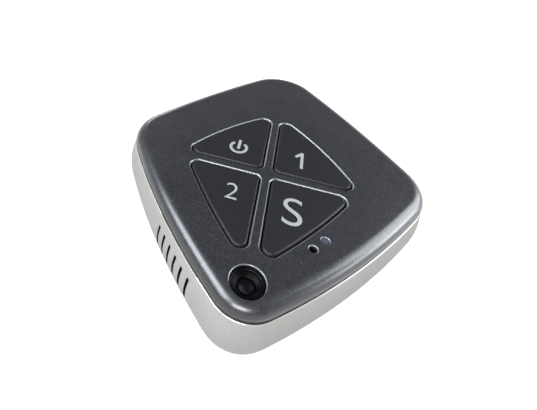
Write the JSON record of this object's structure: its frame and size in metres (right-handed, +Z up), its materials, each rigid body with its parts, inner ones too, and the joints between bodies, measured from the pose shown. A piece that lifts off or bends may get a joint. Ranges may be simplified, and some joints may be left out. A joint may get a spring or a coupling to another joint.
{
  "type": "gps tracker",
  "caption": "Palm-sized personal tracker in a rounded diamond case with a dark top cover, a silver lower case, sprung triangular keys, a small camera and sound slots.",
  "frame": {"origin": "middle of the footprint, on the plane the case rests on", "axes": "+Z up out of the key face, +Y towards the far corner, +X towards the right corner; the camera is at the -Y corner"},
  "size_m": [0.0626, 0.0722, 0.0159],
  "materials": {
    "graphite_case": "satin graphite paint with fine flake on moulded plastic",
    "silver_case": "satin pearl silver paint on moulded plastic",
    "key_plastic": "matt dark grey moulding",
    "silicone": "translucent grey silicone",
    "steel_parts": "tinned or plain steel",
    "board": "green solder mask",
    "black_plastic": "black moulding",
    "lens_glass": "coated dark glass",
    "clear_plastic": "smoked clear plastic",
    "white_plastic": "plain moulding",
    "black_rubber": "soft foam or rubber",
    "battery_foil": "laminated foil pouch",
    "ceramic": "fired ceramic with a silvered face",
    "antenna_film": "copper on amber film"
  },
  "bodies": {
    "housing": {"lower_case": "silver_case", "top_cover": "graphite_case", "keypad_membrane": "silicone", "tact_switches": "steel_parts", "main_board": "board", "camera_bezel": "black_plastic", "camera_lens": "lens_glass", "camera_barrel": "black_plastic", "camera_body": "black_plastic", "light_pipe": "clear_plastic", "status_led": "white_plastic", "microphone": "steel_parts", "microphone_boot": "black_rubber", "speaker": "black_plastic", "speaker_gasket": "black_rubber", "battery": "battery_foil", "battery_pad": "black_rubber", "battery_connector": "white_plastic", "patch_antenna": "ceramic", "cell_antenna": "antenna_film", "radio_shield": "steel_parts", "card_holder": "steel_parts", "network_card": "white_plastic", "charging_socket": "steel_parts", "vibration_motor": "steel_parts", "case_screws": "steel_parts"},
    "power_key": {"power_key": "key_plastic"},
    "one_key": {"one_key": "key_plastic"},
    "two_key": {"two_key": "key_plastic"},
    "sos_key": {"sos_key": "key_plastic"}
  },
  "joints": [
    {"name": "power_press", "type": "slide", "parent": "housing", "child": "power_key", "axis": [0, 0, -1], "range_m": [0, 0.0004], "stiffness_N_per_m": 1500},
    {"name": "one_press", "type": "slide", "parent": "housing", "child": "one_key", "axis": [0, 0, -1], "range_m": [0, 0.0004], "stiffness_N_per_m": 1500},
    {"name": "two_press", "type": "slide", "parent": "housing", "child": "two_key", "axis": [0, 0, -1], "range_m": [0, 0.0004], "stiffness_N_per_m": 1500},
    {"name": "sos_press", "type": "slide", "parent": "housing", "child": "sos_key", "axis": [0, 0, -1], "range_m": [0, 0.0004], "stiffness_N_per_m": 1500}
  ]
}
